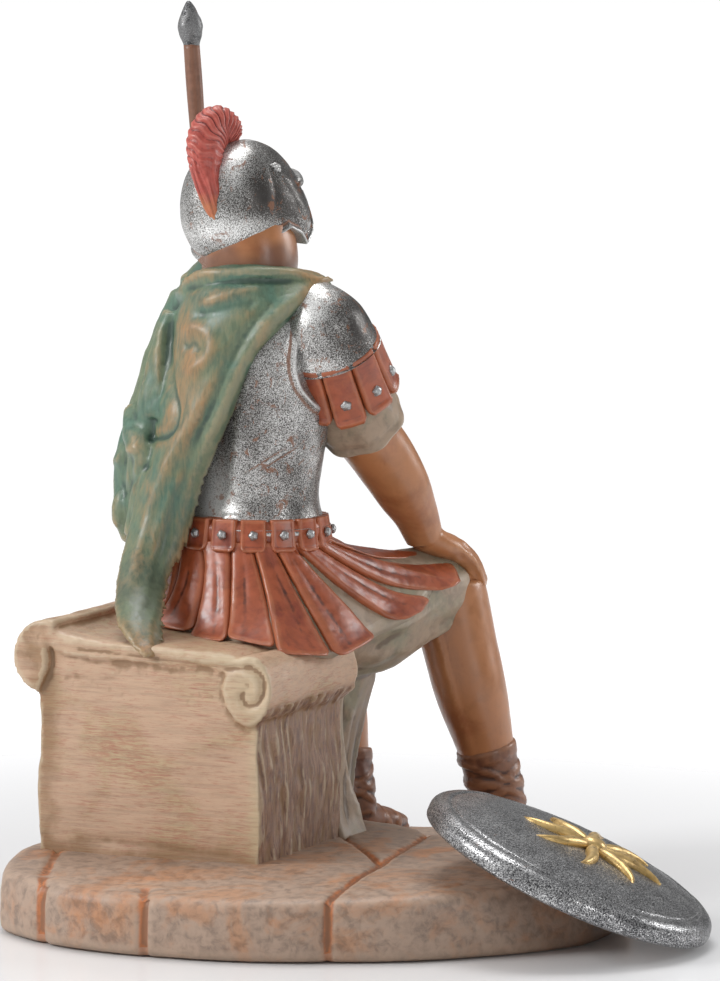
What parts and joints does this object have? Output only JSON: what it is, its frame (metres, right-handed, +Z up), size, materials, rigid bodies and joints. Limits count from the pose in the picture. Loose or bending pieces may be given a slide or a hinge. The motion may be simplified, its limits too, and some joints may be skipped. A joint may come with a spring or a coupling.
{
  "type": "roman soldier statue",
  "caption": "Painted cast figurine of a seated roman soldier on a scroll-ended stone bench, holding a spear, with a round shield leaning on the paved base.",
  "frame": {"origin": "on the underside of the base, plumb below the middle of the bench", "axes": "+Z up, along the standing height; +Y the way the bench and the soldier face; +X to the soldier's right, towards the shield"},
  "size_m": [0.1417, 0.14, 0.1814],
  "materials": {
    "figure": "hand-painted cast plastic in several colours, satin",
    "spear": "brown paint with a dark silver head",
    "shield": "dark silver paint with a gold star"
  },
  "bodies": {
    "root": {"soldier": "figure", "spear": "spear", "shield": "shield"}
  },
  "joints": []
}
